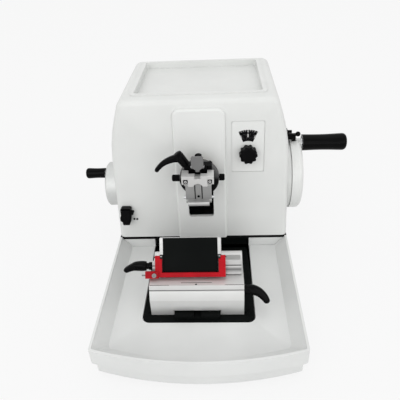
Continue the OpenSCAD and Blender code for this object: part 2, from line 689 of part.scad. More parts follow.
module knurled(r, l) {
    linear_extrude(l - 1) union() {
        circle(r - 0.35);
        for (i = [0:19]) rotate(i * 18) translate([r - 0.7, 0]) circle(0.7, $fn = 16);
    }
    translate([0, 0, l - 1 - e]) cylinder(r1 = r - 0.35, r2 = r - 1.3, h = 1 + e);
}
module side_screw_left() color("#141415") deck() translate([0, screw_y, head_z]) {
    translate([-disc_r - 0.3, 0, 0]) rotate([0, -90, 0]) knurled(5, 11);
    xrod(screw_r, -disc_r - 1, -screw_tip, 0, 0);
}
module side_screw_right() color("#141415") deck() translate([0, screw_y, head_z]) {
    translate([disc_r + 0.3, 0, 0]) rotate([0, 90, 0]) knurled(5, 8);
    xrod(screw_r, screw_tip, disc_r + 1, 0, 0);
}
module top_screw() color("#141415") deck() translate([0, screw_y, head_z]) {
    translate([0, 0, disc_r + 0.3]) knurled(5, 9);
    zrod(screw_r, screw_tip, disc_r + 1, 0, 0);
}

// ---------- holder block, tilts on the ball ----------
module holder_block() color("#1f2123") deck() difference() {
    union() {
        translate([0, disc_y0, head_z]) sphere(ball_r, $fn = 48);
        yrod(17.5, -26, -23, 0, head_z);
        span([-17, 17], [block_y0, -26 + e], [head_z - 18, head_z + 24]);
        span([-19, 19.5], [block_y0, -26 + e], [head_z + 24 - e, head_z + 34]);
        // hinge lugs of the jaw lever
        for (s = [-1, 1]) translate([s * 10.7, 0, 0])
            span([-1.4, 1.4], [pin_y - 2.5, block_y0 + e], [head_z + 30, head_z + 38.5]);
        translate(arm_at) rotate([0, arm_dir, 0]) cylinder(r = 5.4, h = 4);
    }
    // room for the lever's tip
    span([-6.5, 6.5], [block_y0 - 1, -32], [head_z + 26, head_z + 40]);
    xrod(1.55, -15, 15, pin_y, pin_z);
    translate(arm_at) rotate([0, arm_dir, 0]) {
        translate([0, 0, -3]) cylinder(r = 2.5 + fit, h = 12);
        // face below the lever's hub
        translate([0, 0, 4]) cylinder(r = 7, h = 12);
    }
}
module lever_bead(x, z, r) translate([x, 0, z]) sphere(r, $fn = 28);
module orientation_lever() color("#101112") deck() translate(arm_at) rotate([0, arm_dir, 0])
    difference() {
        union() {
            translate([0, 0, 4.3]) cylinder(r = 6.3, h = 14);
            translate([0, 0, 18.3 - e]) cylinder(r1 = 6.3, r2 = 5.2, h = 2);
            translate([0, 0, 20.3 - e]) cylinder(r = 3.4, h = 2);
            translate([0, 0, -2.6]) cylinder(r = 2.5, h = 8);
            hull() {
                lever_bead(-2, 14.5, 5);
                lever_bead(-12, 20.5, 4.8);
            }
            hull() {
                lever_bead(-12, 20.5, 4.8);
                lever_bead(-25, 23.5, 4.2);
            }
            hull() {
                lever_bead(-25, 23.5, 4.2);
                lever_bead(-37.5, 20.5, 3.4);
            }
        }
        translate([0, 0, 21.2]) cylinder(r = 1.6, h = 3, $fn = 6);
    }
// ---------- cassette clamp ----------
module clamp_body() color("#a5a8a9") deck() difference() {
    union() {
        span([-18, 18], [clamp_y0, block_y0], [97, 138]);
        // fixed lower jaw
        xplate(-15, 15) polygon([[clamp_y0 + e, 97], [jaw_y0, 97.6], [jaw_y0, 101.4], [jaw_y0 + 1.2, 102.6],
            [clamp_y0 + e, 102.6]]);
        // centre rib
        zrod(3.4, 102.6 - e, 128, 0, clamp_y0 + 2.2);
    }
    for (s = [-1, 1]) span([s * 4.9 - 0.8, s * 4.9 + 0.8], [clamp_y0 - 1, clamp_y0 + 1], [103, 127.5]);
    yrod(1.3, clamp_y0 - 5, clamp_y0 + 3, 0, 109);
    // guide screw holes
    for (s = [-1, 1]) yrod(1.6, clamp_y0 - 1, block_y0 - 2, s * screw_x, screw_z);
    xrod(2.1, -19, 19, rod_y, rod_z);
    // notch in the front of the jaw
    translate([0, 0, 97]) yplate(jaw_y0 - 1, jaw_y0 + 2) polygon([[-3, 5], [3, 5], [5.5, 9], [-5.5, 9]]);
}
module upper_jaw() color("#c9cbcc") deck() difference() {
    union() {
        span([-jaw_w / 2, jaw_w / 2], [jaw_y0, clamp_y0 - gap], [129, jaw_top]);
        for (s = [-1, 1]) span(s > 0 ? [13, jaw_w / 2] : [-jaw_w / 2, -13], [clamp_y0 - gap - e, -39],
            [138.6, jaw_top]);
    }
    // slots of the guide screws, open to the lift
    for (s = [-1, 1]) translate([s * screw_x, 0, 0]) {
        span([-1.7, 1.7], [jaw_y0 - 1, clamp_y0 + 1], [screw_z - 1.8 - jaw_lift, screw_z + 1.8]);
        span([-3.4, 3.4], [jaw_y0 - 1, jaw_y0 + 2.4], [screw_z - 3.6 - jaw_lift, screw_z + 3.6]);
    }
    // centre notch below the lever's tip and the arch of the front
    span([-4, 4], [jaw_y0 - 1, -47], [jaw_top - 4.2, jaw_top + 1]);
    yrod(7, jaw_y0 - 1, clamp_y0 + 3, 0, 126.4);
    // side steps of the front plate
    for (s = [-1, 1]) span(s > 0 ? [18.6, 30] : [-30, -18.6], [jaw_y0 - 1, clamp_y0 + 1], [120, 132.5]);
}
module jaw_screws() color("#909496") deck() for (s = [-1, 1]) translate([s * screw_x, 0, screw_z]) {
    yrod(1.5, jaw_y0 + 2, block_y0 - 2.5, 0, 0);
    difference() {
        yrod(3, jaw_y0 + 0.4, jaw_y0 + 2.3, 0, 0);
        yrod(1.4, jaw_y0 - 1, jaw_y0 + 1.4, 0, 0, 6);
    }
}
module clamp_pins() color("#b4b7b9") deck() {
    xrod(2.05, -21.5, 21.5, rod_y, rod_z);
    xrod(1.5, -12.1, 12.1, pin_y, pin_z);
}
module jaw_lever() color("#8a8f92") deck() difference() {
    union() {
        yplate(-46, -42.6) polygon([[-8.4, 153], [-8.4, 166.4], [-7, 168.4], [7, 168.4], [8.4, 166.4],
            [8.4, 153], [2.8, 148.4], [2.6, jaw_top + 0.9], [-2.6, jaw_top + 0.9], [-2.8, 148.4]]);
        xrod(3, -8.6, 8.6, pin_y, pin_z);
    }
    xrod(1.6, -12, 12, pin_y, pin_z);
}

// ---------- section thickness control ----------
module section_knob() color("#131314") lean() on_panel() difference() {
    rotate([90, 0, 0]) translate([0, 0, -0.2]) {
        linear_extrude(knob_len - 1.5) union() {
            circle(knob_r - 1.9);
            for (i = [0:9]) rotate(i * 36) translate([knob_r - 2.9, 0]) circle(2.9, $fn = 32);
        }
        translate([0, 0, knob_len - 1.5 - e]) cylinder(r1 = knob_r - 1.9, r2 = knob_r - 3.6, h = 1.5);
    }
    yrod(3 + fit, -knob_len + 4, 2, 0, 0);
}

module section_dial() color("#101011") lean() on_panel() {
    yrod(dial_r, 4.2, 5.6, 0, 0);
    yrod(6.5, 5.6 - e, 9.6, 0, 0);
    yrod(3, -knob_len + 4.2, 11, 0, 0);
}

// ---------- trimming lever ----------
module trim_plate() color("#c9cac8") lean() translate([trim_x, 0, trim_u]) difference() {
    yrod(8, -0.8, 0, 0, 0);
    yrod(3 + fit, -2, 2, 0, 0);
}

module trim_lever() color("#121213") lean() translate([trim_x, -1.05, trim_u]) {
    rotate([90, 0, 0]) {
        linear_extrude(9) union() {
            offset(1.5) polygon([[-7, -5], [-7, 6], [-5.6, 7.2], [5.6, 7.2], [7, 6], [7, -5]]);
            offset(1.2) polygon([[-9, -8], [-9, -13], [-6, -15], [-5.5, -20], [3, -20], [5.4, -14],
                [7.2, -5], [-7, -4]]);
            translate([9.4, -1]) circle(2.2, $fn = 24);
        }
        translate([0, 0, 9 - e]) linear_extrude(1.6) offset(1) polygon([[-5.8, -5], [-5.8, 5.2], [5.8, 5.2],
            [5.8, -5], [2.4, -17.5], [-3.6, -17.5]]);
    }
    yrod(3, -1, 10, 0, 0);
}

// ---------- knife holder base ----------
module holder_base() color("#c2c5c6") deck() difference() {
    xplate(hold_x0, hold_x1) polygon([[hold_y0, deck_floor + gap], [hold_y0, 7],
        [hold_y0 + 6, holder_top - 5], [hold_y0 + 7.2, holder_top], [hold_y1, holder_top],
        [hold_y1, deck_floor + gap]]);
    // trough of the tilting segment
    xrod(seg_r + gap, hold_x0 - 1, hold_x1 + 1, edge_y, edge_z, 160);
    // guideway below, opened out at the front
    yplate(hold_y0 - 1, hold_y1 + 1) guide_profile(gap);
    yplate(hold_y0 - 1, hold_y0 + 14) guide_profile(2);
    // scribed line below the top edge
    span([hold_x0 - 1, hold_x1 + 1], [hold_y0, hold_y0 + 6.2], [holder_top - 7.4, holder_top - 6.4]);
    // seat of the lever's shaft
    xrod(3 + fit, hold_x1 - 22, hold_x1 + 1, base_arm_y, base_arm_z);
}

module base_lever() color("#111213") deck()
    translate([hold_x1 + 0.3, base_arm_y, base_arm_z]) rotate([90, 0, 90]) {
        translate([0, 0, -20]) cylinder(r = 3, h = 21);
        cylinder(r = 6, h = 9);
        hull() {
            translate([0, 0, 7]) sphere(5.6, $fn = 28);
            translate([-2, -4, 19]) sphere(4.8, $fn = 28);
        }
        hull() {
            translate([-2, -4, 19]) sphere(4.8, $fn = 28);
            translate([-8, -14, 30]) sphere(4, $fn = 28);
        }
    }
// ---------- blade holder, tilts about the knife edge ----------
module blade_holder() color("#c6c9ca") difference() {
    deck() union() {
        // segment, full width
        xplate(hold_x0 + 2.5, hold_x1 - 2.5) intersection() {
            translate([edge_y, edge_z]) circle(seg_r, $fn = 160);
            polygon([[-124, 20], [-124, 29], [-121.2, 30.8], [-115.8, 38.8], [-115, 38.3], [-114.5, 39],
                [-115.3, 39.5], [-112.4, 43.8], [-110.6, 44.4], [-92, 28.2], [-76, 26], [-76, 20]]);
        }
        // wedge below the pressure plate
        xplate(plate_x - plate_w / 2 - 4.9, plate_x + plate_w / 2 + 4.9)
            polygon([[-112.2, 43.5], [-94.6, 69.9], [-92.6, 70.6], [-84, 58], [-80, 45], [-78, 27],
                [-112.2, 27]]);
    }
    knife_edge() translate([plate_x, 0, 0])
        span([-plate_w / 2 - 5, plate_w / 2 + 5], [-9, plate_t + 0.5], [-70, 3]);
}

module side_bars() color("#dfe1e2") knife_edge() translate([plate_x, 0, 0]) for (s = [-1, 1]) {
    translate([s * (plate_w / 2 + 2.5), 0, 0]) {
        span([-2.2, 2.2], [-0.6, plate_t + 0.5], [-plate_len, 0]);
        // cheek of the guard's pivot pin
        span([-1, 1], [guard_y - 1.2, -0.6 + e], [guard_z - 1.6, guard_z + 1.6]);
    }
    xrod(1.2, s > 0 ? plate_w / 2 + 2.5 : -guard_x - 5.8, s > 0 ? guard_x + 5.8 : -plate_w / 2 - 2.5,
        guard_y, guard_z);
}
module pressure_plate() color("#1a1b1d") knife_edge() translate([plate_x, 0, 0])
    xplate(-plate_w / 2, plate_w / 2) polygon([[0.6, 0], [2.2, 0.4], [plate_t + 0.4, -3],
        [plate_t + 0.4, -plate_len + 0.5], [0, -plate_len + 0.5], [0, -1]]);
module blade_lever() color("#121314") deck() translate([hold_x0 + 2.2, -110, 34]) rotate([90, 0, -90]) {
    cylinder(r = 5.6, h = 5);
    translate([0, 0, 5 - e]) cylinder(r = 4.6, h = 4);
    hull() {
        translate([0, 0, 9]) sphere(4.6, $fn = 28);
        translate([0, -0.5, 24]) sphere(4.9, $fn = 28);
    }
    hull() {
        translate([0, -0.5, 24]) sphere(4.9, $fn = 28);
        translate([1, -6, 33]) sphere(4.2, $fn = 28);
    }
}

module finger_guard() color("#c81e2c") knife_edge() translate([plate_x, 0, 0]) difference() {
    union() {
        for (s = [-1, 1]) translate([s * guard_x, 0, 0]) {
            span([-4.6, 4.6], [-5.4, -1], [guard_end, guard_z]);
            xrod(2.2, -4.6, 4.6, guard_y, guard_z);
        }
        span([-guard_x, guard_x], [-5.4, -1], [guard_end, guard_end + 6]);
        // finger tab on the left
        span([-guard_x - 18, -guard_x], [-6.4, -1], [guard_end - 1.5, guard_end + 8]);
    }
    xrod(1.2 + fit, -guard_x - 9, guard_x + 9, guard_y, guard_z);
    // room for the cheeks of the pivot pins
    for (s = [-1, 1]) translate([s * (plate_w / 2 + 2.5), 0, 0])
        span([-1.5, 1.5], [-6, 0], [guard_z - 2.4, guard_z + 3]);
    // seats of the tab's screw and pin
    translate(tab_at) yrod(1.5, -1, 4, 0, 0);
    translate(tab_at + [-12.2, 2.8, 0]) xrod(1.06, 0, 8, 0, 0);
}

module guard_screw() color("#b9bcbe") knife_edge() translate([plate_x, 0, 0]) {
    translate(tab_at) {
        difference() {
            yrod(3, -1.5, 0, 0, 0);
            yrod(1.4, -2, -0.7, 0, 0, 6);
        }
        yrod(1.45, -e, 3.8, 0, 0);
    }
    translate(tab_at + [-12.2, 2.8, 0]) xrod(1, -5, 7.8, 0, 0);
}

base_casting();
rubber_feet();
gasket_strip();
housing_shell();
channel_panel();
control_panel();
window_lens();
top_tray();
rear_cover();
cover_screws();
base_plate();
plate_screws();
holder_guide();
waste_tray();
column_casting();
guide_rails();
shaft_bearings();
lock_bracket();
trim_plate();
handwheel();
wheel_cap();
drive_shaft();
crank_disc();
crank_roller();
grip_axle();
hand_grip();
lock_lever();
coarse_wheel();
coarse_shaft();
coarse_axle();
coarse_grip();
carriage();
crank_yoke();
slot_cover();
feed_sleeve();
feed_unit();
feed_spindle();
ratchet_wheel();
orientation_disc();
side_screw_left();
side_screw_right();
top_screw();
holder_block();
orientation_lever();
clamp_body();
upper_jaw();
jaw_screws();
clamp_pins();
jaw_lever();
section_knob();
section_dial();
trim_lever();
holder_base();
base_lever();
blade_holder();
side_bars();
pressure_plate();
blade_lever();
finger_guard();
guard_screw();
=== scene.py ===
import math

import bpy
from mathutils import Matrix, Vector

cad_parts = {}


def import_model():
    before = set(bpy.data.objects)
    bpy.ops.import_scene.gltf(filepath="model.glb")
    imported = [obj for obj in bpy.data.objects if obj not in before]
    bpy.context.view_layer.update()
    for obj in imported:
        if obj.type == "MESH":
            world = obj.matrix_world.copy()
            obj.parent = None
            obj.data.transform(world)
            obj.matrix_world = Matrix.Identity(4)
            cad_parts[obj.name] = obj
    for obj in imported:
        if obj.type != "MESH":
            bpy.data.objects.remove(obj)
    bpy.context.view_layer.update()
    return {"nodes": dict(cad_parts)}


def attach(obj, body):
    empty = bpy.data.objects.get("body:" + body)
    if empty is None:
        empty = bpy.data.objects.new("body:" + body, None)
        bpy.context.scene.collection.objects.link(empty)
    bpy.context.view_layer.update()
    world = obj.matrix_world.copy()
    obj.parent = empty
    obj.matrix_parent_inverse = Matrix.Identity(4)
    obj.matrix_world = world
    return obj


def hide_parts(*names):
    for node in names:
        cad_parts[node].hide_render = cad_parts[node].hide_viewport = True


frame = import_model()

# Looks of the rotary microtome: materials and rounded edges for the CAD nodes, three moulded
# levers and the fine marks. Places are in deck millimetres, as in part.scad: x to the right,
# y to the rear and z up from the deck line. Lamps and the floor are in metres.

MM = 0.001
DECK = 0.052                     # height of the deck line above the bench, in metres
MID = (19.8, -1.2)               # middle of the whole instrument
LEAN = math.radians(6)           # backward lean of the housing's front face
NODES = frame["nodes"]


# ---------- places ----------
def deck(x, y, z):
    """A point in deck millimetres, in the frame's metres."""
    return Vector(((x - MID[0]) * MM, (y - MID[1]) * MM, z * MM + DECK))


def at(x, y, z):
    """Upright place at a point in deck millimetres."""
    return Matrix.Translation(deck(x, y, z))


def on_face():
    """Place on the leaning front face: local x right, y inward, z up the face."""
    return at(0, 0, 0) @ Matrix.Rotation(-LEAN, 4, "X")


# ---------- material nodes ----------
NOISE_LOW, NOISE_HIGH = 0.3, 0.7        # most of a noise's values lie between these


def shader(name):
    """A new material, its node tree and its Principled BSDF."""
    m = bpy.data.materials.new(name)
    m.use_nodes = True
    t = m.node_tree
    return m, t, t.nodes["Principled BSDF"]


def coords(t, stretch=(1, 1, 1)):
    """Object coordinates, scaled along each axis."""
    tc = t.nodes.new("ShaderNodeTexCoord")
    mp = t.nodes.new("ShaderNodeMapping")
    mp.inputs["Scale"].default_value = stretch
    t.links.new(tc.outputs["Object"], mp.inputs["Vector"])
    return mp.outputs["Vector"]


def noise(t, vector, scale, detail=3.0, rough=0.5):
    n = t.nodes.new("ShaderNodeTexNoise")
    n.inputs["Scale"].default_value = scale
    n.inputs["Detail"].default_value = detail
    n.inputs["Roughness"].default_value = rough
    t.links.new(vector, n.inputs["Vector"])
    return n.outputs["Fac"]


def spread(t, fac, low, high, start=NOISE_LOW, end=NOISE_HIGH):
    """Maps the values from start to end to those from low to high."""
    r = t.nodes.new("ShaderNodeMapRange")
    r.inputs["From Min"].default_value = start
    r.inputs["From Max"].default_value = end
    r.inputs["To Min"].default_value = low
    r.inputs["To Max"].default_value = high
    t.links.new(fac, r.inputs["Value"])
    return r.outputs["Result"]


def tint(t, fac, dark, light):
    """Maps a noise to a colour between two."""
    r = t.nodes.new("ShaderNodeValToRGB")
    r.color_ramp.elements[0].position = NOISE_LOW
    r.color_ramp.elements[1].position = NOISE_HIGH
    r.color_ramp.elements[0].color = (*dark, 1)
    r.color_ramp.elements[1].color = (*light, 1)
    t.links.new(fac, r.inputs["Fac"])
    return r.outputs["Color"]


def bump(t, bsdf, height, strength, distance=0.0002):
    """Bumps a surface by a noise; distance is the bumps' height in metres."""
    b = t.nodes.new("ShaderNodeBump")
    b.inputs["Strength"].default_value = strength
    b.inputs["Distance"].default_value = distance
    t.links.new(height, b.inputs["Height"])
    t.links.new(b.outputs["Normal"], bsdf.inputs["Normal"])


def scaled(colour, k):
    """A colour made darker or lighter."""
    return tuple(min(1.0, c * k) for c in colour)


# ---------- kinds of material ----------
def paint(name, colour, rough, peel, coat):
    """Sprayed enamel: faint clouding, orange peel and a clear coat."""
    m, t, b = shader(name)
    v = coords(t)
    cloud = noise(t, v, scale=14, detail=4)
    t.links.new(tint(t, cloud, scaled(colour, 0.97), scaled(colour, 1.02)), b.inputs["Base Color"])
    sheen = noise(t, v, scale=60, detail=5)
    t.links.new(spread(t, sheen, rough - 0.05, rough + 0.06), b.inputs["Roughness"])
    b.inputs["Coat Weight"].default_value = coat
    b.inputs["Coat Roughness"].default_value = 0.15
    bump(t, b, noise(t, v, scale=420, detail=2), peel)
    return m


def moulded(name, colour, rough, grain, scale=900, gloss=0.12):
    """Moulded plastic with a fine spark-eroded grain."""
    m, t, b = shader(name)
    v = coords(t)
    cloud = noise(t, v, scale=40, detail=4)
    t.links.new(tint(t, cloud, scaled(colour, 0.8), scaled(colour, 1.25)), b.inputs["Base Color"])
    sheen = noise(t, v, scale=120, detail=4)
    t.links.new(spread(t, sheen, rough - 0.06, rough + 0.08), b.inputs["Roughness"])
    b.inputs["Specular IOR Level"].default_value = gloss
    bump(t, b, noise(t, v, scale, detail=2), grain)
    return m


def tooled(name, rough, stretch, depth, metallic, gloss):
    """Machined metal without its colour; the tool marks run along the axis that stretch scales least."""
    m, t, b = shader(name)
    marks = noise(t, coords(t, stretch), scale=180, detail=4, rough=0.6)
    b.inputs["Metallic"].default_value = metallic
    b.inputs["Specular IOR Level"].default_value = gloss
    t.links.new(spread(t, marks, rough - 0.06, rough + 0.08), b.inputs["Roughness"])
    bump(t, b, marks, depth, distance=0.0001)
    return m, t, b


def metal(name, colour, rough, stretch=(1, 14, 14), depth=0.05, metallic=1.0, gloss=0.5, vary=0.05):
    """Machined metal of one colour, with faint clouding."""
    m, t, b = tooled(name, rough, stretch, depth, metallic, gloss)
    cloud = noise(t, coords(t), scale=22)
    t.links.new(tint(t, cloud, scaled(colour, 1 - vary), scaled(colour, 1 + vary)), b.inputs["Base Color"])
    return m


def banded(name, bands, rough, stretch=(1, 10, 10), metallic=0.6, gloss=0.5):
    """Machined metal whose tone changes with height, in places painting shade or a highlight; bands are (deck
    height, grey).
    """
    m, t, b = tooled(name, rough, stretch, depth=0.03, metallic=metallic, gloss=gloss)
    low, high = bands[0][0], bands[-1][0]
    split = t.nodes.new("ShaderNodeSeparateXYZ")
    t.links.new(coords(t), split.inputs[0])
    level = spread(t, split.outputs["Z"], 0, 1, low * MM + DECK, high * MM + DECK)
    ramp = t.nodes.new("ShaderNodeValToRGB")
    while len(ramp.color_ramp.elements) < len(bands):
        ramp.color_ramp.elements.new(0.5)
    for element, (z, grey) in zip(ramp.color_ramp.elements, bands):
        element.position = (z - low) / (high - low)
        element.color = (grey, grey, grey * 0.99, 1)
    t.links.new(level, ramp.inputs["Fac"])
    cloud = tint(t, noise(t, coords(t), scale=22), (0.94, 0.94, 0.94), (1, 1, 1))
    worn = t.nodes.new("ShaderNodeMix")
    worn.data_type = "RGBA"
    worn.blend_type = "MULTIPLY"
    worn.inputs["Factor"].default_value = 1.0
    t.links.new(ramp.outputs["Color"], worn.inputs["A"])
    t.links.new(cloud, worn.inputs["B"])
    t.links.new(worn.outputs["Result"], b.inputs["Base Color"])
    return m


def glass(name):
    """Thin clear pane: mostly see-through, with a faint uneven gloss."""
    m, t, b = shader(name)
    b.inputs["Base Color"].default_value = (0.02, 0.02, 0.022, 1)
    b.inputs["Alpha"].default_value = 0.12
    b.inputs["Specular IOR Level"].default_value = 0.2
    t.links.new(spread(t, noise(t, coords(t), scale=90), 0.02, 0.07), b.inputs["Roughness"])
    m.surface_render_method = "BLENDED"
    return m


# ---------- materials ----------
GLOSS_BLACK = (0.0018, 0.0018, 0.002)
SATIN_BLACK = (0.003, 0.003, 0.0033)
STEEL_BLACK = (0.0042, 0.005, 0.0048)
# a bright strip from 99.8 to 102.4, below the darker front
CLAMP_BANDS = [(97, 0.36), (99.4, 0.42), (99.8, 0.56), (102.4, 0.60), (102.8, 0.28), (112, 0.33), (138, 0.40)]
# painted shade of a groove, as a dim line at 34.5, and a dark line at 39
SEGMENT_BANDS = [(23, 0.5), (29.4, 0.55), (31, 0.42), (34.5, 0.12), (37.2, 0.44), (38.2, 0.5),
                 (38.5, 0.05), (39.4, 0.06), (39.7, 0.42), (43.2, 0.44), (44.4, 0.5), (70, 0.45)]
# a dark joint line at 21, and a painted highlight between 7.2 and 19, where the upper face leans back to the
# light
BASE_BANDS = [(-19.8, 0.68), (0, 0.68), (6.6, 0.68), (7.2, 0.76), (19, 0.74), (20.4, 0.5),
              (21, 0.06), (21.4, 0.06), (21.8, 0.62), (28, 0.70)]
# black up to 54.6, and bright above
BAR_BANDS = [(28, 0.01), (54.6, 0.012), (55.2, 0.5), (73, 0.6)]
# black below the disc's axis, which is at 117, and grey above it, a painted sheen of the lit upper side
DISC_BANDS = [(88, 0.003), (117, 0.003), (123, 0.09), (146, 0.13)]

M = {
    "housing": paint("housing_enamel", (0.70, 0.71, 0.695), rough=0.42, peel=0.08, coat=0.1),
    "panel": paint("panel_enamel", (0.74, 0.75, 0.735), rough=0.45, peel=0.08, coat=0.1),
    "tray": paint("tray_enamel", (0.70, 0.71, 0.70), rough=0.4, peel=0.06, coat=0.15),
    "wheel": paint("wheel_enamel", (0.72, 0.73, 0.715), rough=0.35, peel=0.05, coat=0.2),
    "cast": paint("cast_grey", (0.24, 0.25, 0.26), rough=0.6, peel=0.6, coat=0.0),
    "black_gloss": moulded("black_gloss_plastic", GLOSS_BLACK, rough=0.12, grain=0.03, gloss=0.06),
    "black_satin": moulded("black_satin_plastic", SATIN_BLACK, rough=0.42, grain=0.15, scale=1300,
                           gloss=0.04),
    "rubber": moulded("rubber", (0.006, 0.006, 0.006), rough=0.75, grain=0.3, scale=700, gloss=0.05),
    "red": moulded("red_lacquer", (0.37, 0.004, 0.010), rough=0.42, grain=0.05, scale=700, gloss=0.1),
    "mark_white": moulded("mark_white", (0.80, 0.80, 0.78), rough=0.5, grain=0.1),
    "mark_black": moulded("mark_black", (0.002, 0.002, 0.002), rough=0.6, grain=0.1, gloss=0.02),
    "black_steel": metal("blackened_steel", STEEL_BLACK, rough=0.42, stretch=(14, 1, 14), depth=0.04,
                         metallic=0.0, gloss=0.03, vary=0.15),
    "steel": metal("ground_steel", (0.66, 0.67, 0.68), rough=0.28),
    "aluminium": metal("anodised_aluminium", (0.62, 0.63, 0.62), rough=0.5, stretch=(1, 10, 10),
                       depth=0.03, metallic=0.7),
    "jaw_metal": metal("jaw_metal", (0.60, 0.60, 0.59), rough=0.42, stretch=(1, 9, 9), metallic=0.5),
    "lever_grey": metal("phosphated_steel", (0.20, 0.20, 0.20), rough=0.45, stretch=(8, 8, 8),
                        depth=0.1, metallic=0.8),
    "bronze": metal("bronze", (0.52, 0.36, 0.15), rough=0.35),
    "clamp_metal": banded("clamp_metal", CLAMP_BANDS, rough=0.5),
    "segment_metal": banded("segment_metal", SEGMENT_BANDS, rough=0.42),
    "base_metal": banded("base_metal", BASE_BANDS, rough=0.45),
    "bar_metal": banded("bar_metal", BAR_BANDS, rough=0.35),
    "disc_metal": banded("disc_metal", DISC_BANDS, rough=0.45, stretch=(6, 6, 1), metallic=0.0,
                         gloss=0.1),
    "lens": glass("lens"),
}

# CAD nodes by material, each with the radius of its rounded edges in millimetres; 0 keeps them crisp
DRESS = {
    "housing": {"housing_shell": 0, "top_tray": 0.6},
    "panel": {"channel_panel": 0, "control_panel": 0.25, "rear_cover": 0.4, "trim_plate": 0.2},
    "tray": {"base_casting": 0.8, "waste_tray": 0.9},
    "wheel": {"handwheel": 0.8},
    "cast": {"column_casting": 0.8, "carriage": 0.6, "feed_unit": 0.6},
    "black_gloss": {"wheel_cap": 0.4, "hand_grip": 0.5, "lock_lever": 0.5, "coarse_grip": 0.5,
                    "trim_lever": 0.5},
    "black_satin": {"lock_bracket": 0.4, "slot_cover": 0, "side_screw_left": 0, "side_screw_right": 0,
                    "top_screw": 0, "holder_block": 0.8, "jaw_screws": 0.2, "section_knob": 0.5,
                    "section_dial": 0.3},
    "rubber": {"rubber_feet": 0.6, "gasket_strip": 0},
    "red": {"finger_guard": 0.6},
    "black_steel": {"base_plate": 0.5, "plate_screws": 0.25, "holder_guide": 0.4, "pressure_plate": 0.4},
    "steel": {"cover_screws": 0.2, "guide_rails": 0.3, "shaft_bearings": 0.4, "drive_shaft": 0.3,
              "crank_disc": 0.3, "grip_axle": 0.3, "coarse_shaft": 0.2, "coarse_axle": 0.2,
              "crank_yoke": 0.4, "feed_spindle": 0.4, "clamp_pins": 0.2},
    "aluminium": {"coarse_wheel": 0.4},
    "jaw_metal": {"upper_jaw": 0.6},
    "lever_grey": {"jaw_lever": 0.5, "guard_screw": 0.2},
    "bronze": {"crank_roller": 0.3, "feed_sleeve": 0.4, "ratchet_wheel": 0.2},
    "clamp_metal": {"clamp_body": 0.5},
    "segment_metal": {"blade_holder": 0.5},
    "base_metal": {"holder_base": 0.5},
    "bar_metal": {"side_bars": 0.3},
    "disc_metal": {"orientation_disc": 0.4},
    "lens": {"window_lens": 0},
}
LEAST_ROUND = 0.12               # radius that even a crisp edge gets
SHARP = math.radians(32)         # angle from which an edge is rounded
WELD = 1e-6                      # distance, in metres, at which points are one


def dress(node, material, radius):
    """Gives a CAD node its material, and rounds its edges by modifiers."""
    o = NODES[node]
    me = o.data
    me.materials.clear()
    me.materials.append(M[material])
    if "custom_normal" in me.attributes:
        me.attributes.remove(me.attributes["custom_normal"])
    me.polygons.foreach_set("use_smooth", [True] * len(me.polygons))
    weld = o.modifiers.new("weld", "WELD")
    weld.merge_threshold = WELD
    b = o.modifiers.new("edges", "BEVEL")
    b.width = max(radius, LEAST_ROUND) * MM
    b.segments = 2 if radius else 1
    b.limit_method = "ANGLE"
    b.angle_limit = SHARP
    b.harden_normals = True
    b.use_clamp_overlap = True


def melt(o, voxel, rounds):
    """Gives an object one soft, closed skin; voxel is in millimetres."""
    skin = o.modifiers.new("skin", "REMESH")
    skin.mode = "VOXEL"
    skin.voxel_size = voxel * MM
    skin.use_smooth_shade = True
    soft = o.modifiers.new("soften", "SMOOTH")
    soft.iterations = rounds


def soften_knob():
    """Turns the section knob's crisp lobes into soft waves."""
    o = NODES["section_knob"]
    melt(o, voxel=0.5, rounds=14)
    shrink = o.modifiers.new("shrink", "DISPLACE")
    shrink.mid_level = 0
    shrink.strength = -0.7 * MM


# ---------- meshes ----------
def new_mesh():
    """Lists of vertices and faces, which the functions below add to."""
    return [], []


def piece(name, mesh, material, body, smooth=False):
    """Makes a mesh a visible piece that rides on a body."""
    verts, faces = mesh
    me = bpy.data.meshes.new(name)
    me.from_pydata(verts, [], faces)
    me.update()
    if smooth:
        me.polygons.foreach_set("use_smooth", [True] * len(me.polygons))
    me.materials.append(M[material])
    o = bpy.data.objects.new(name, me)
    bpy.context.scene.collection.objects.link(o)
    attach(o, body)
    return o


def prism(mesh, place, outline, thick):
    """Adds a thin prism: outline in local x, z, standing out of the local y = 0 plane towards -y."""
    verts, faces = mesh
    base = len(verts)
    n = len(outline)
    for y in (0, -thick):
        verts.extend(place @ Vector((x * MM, y * MM, z * MM)) for x, z in outline)
    faces.append(tuple(range(base + n, base + 2 * n)))
    faces.append(tuple(range(base + n - 1, base - 1, -1)))
    for i in range(n):
        j = (i + 1) % n
        faces.append((base + i, base + j, base + n + j, base + n + i))


def dot(x, z, r, sides=20):
    """Outline of a round mark, or of a socket with few sides."""
    angles = [2 * math.pi * i / sides for i in range(sides)]
    return [(x + r * math.cos(a), z + r * math.sin(a)) for a in angles]


def box(x0, x1, z0, z1):
    """Outline of an upright rectangle."""
    return [(x0, z0), (x1, z0), (x1, z1), (x0, z1)]


def close_rows(faces, rows):
    """Joins rings of vertices into a tube, and closes both its ends."""
    for a, b in zip(rows, rows[1:]):
        n = len(a)
        for i in range(n):
            j = (i + 1) % n
            faces.append((a[i], a[j], b[j], b[i]))
    faces.append(tuple(reversed(rows[0])))
    faces.append(tuple(rows[-1]))


# ---------- levers ----------
FLUTES = 14                      # flutes round each lever's hub
SQUARENESS = 3                   # exponent of an arm's section: 2 is round, and more is squarer


def hub(mesh, place, profile, n=72):
    """Turned hub about local z: profile of (height, radius, depth of the flutes)."""
    verts, faces = mesh
    rows = []
    for z, r, depth in profile:
        rows.append([len(verts) + i for i in range(n)])
        for i in range(n):
            a = 2 * math.pi * i / n
            rr = r - depth * (0.5 - 0.5 * math.cos(FLUTES * a))
            verts.append(place @ Vector((rr * math.cos(a) * MM, rr * math.sin(a) * MM, z * MM)))
    close_rows(faces, rows)


